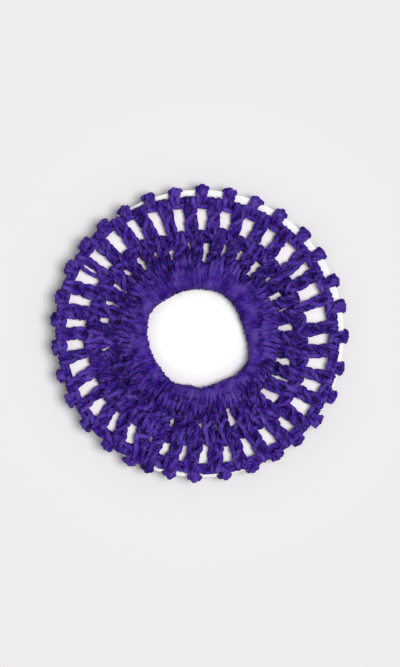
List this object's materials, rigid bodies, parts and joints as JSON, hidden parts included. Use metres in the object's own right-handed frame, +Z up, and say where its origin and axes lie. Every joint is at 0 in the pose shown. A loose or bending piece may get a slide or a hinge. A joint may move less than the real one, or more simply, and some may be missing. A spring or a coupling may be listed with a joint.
{
  "type": "crochet hair snood on a round display disc",
  "caption": "Small round crocheted net bag for a hair bun, with a dense gathered elastic mouth, stretched over a thin round white display disc and lying mouth up.",
  "frame": {"origin": "on the surface that it lies on, under the centre of the display disc", "axes": "+Z up out of the mouth, along the disc's axis; +X to the right and +Y to the top of the view from above"},
  "size_m": [0.1043, 0.1044, 0.0127],
  "materials": {
    "purple_yarn": "matte soft twisted acrylic yarn",
    "white_card": "smooth white board"
  },
  "bodies": {
    "root": {"crown_ring": "purple_yarn", "crown_mesh_inner": "purple_yarn", "crown_mesh_outer": "purple_yarn", "rim_round": "purple_yarn", "outer_mesh": "purple_yarn", "inner_mesh": "purple_yarn", "mouth_round": "purple_yarn", "display_disc": "white_card"}
  },
  "joints": []
}
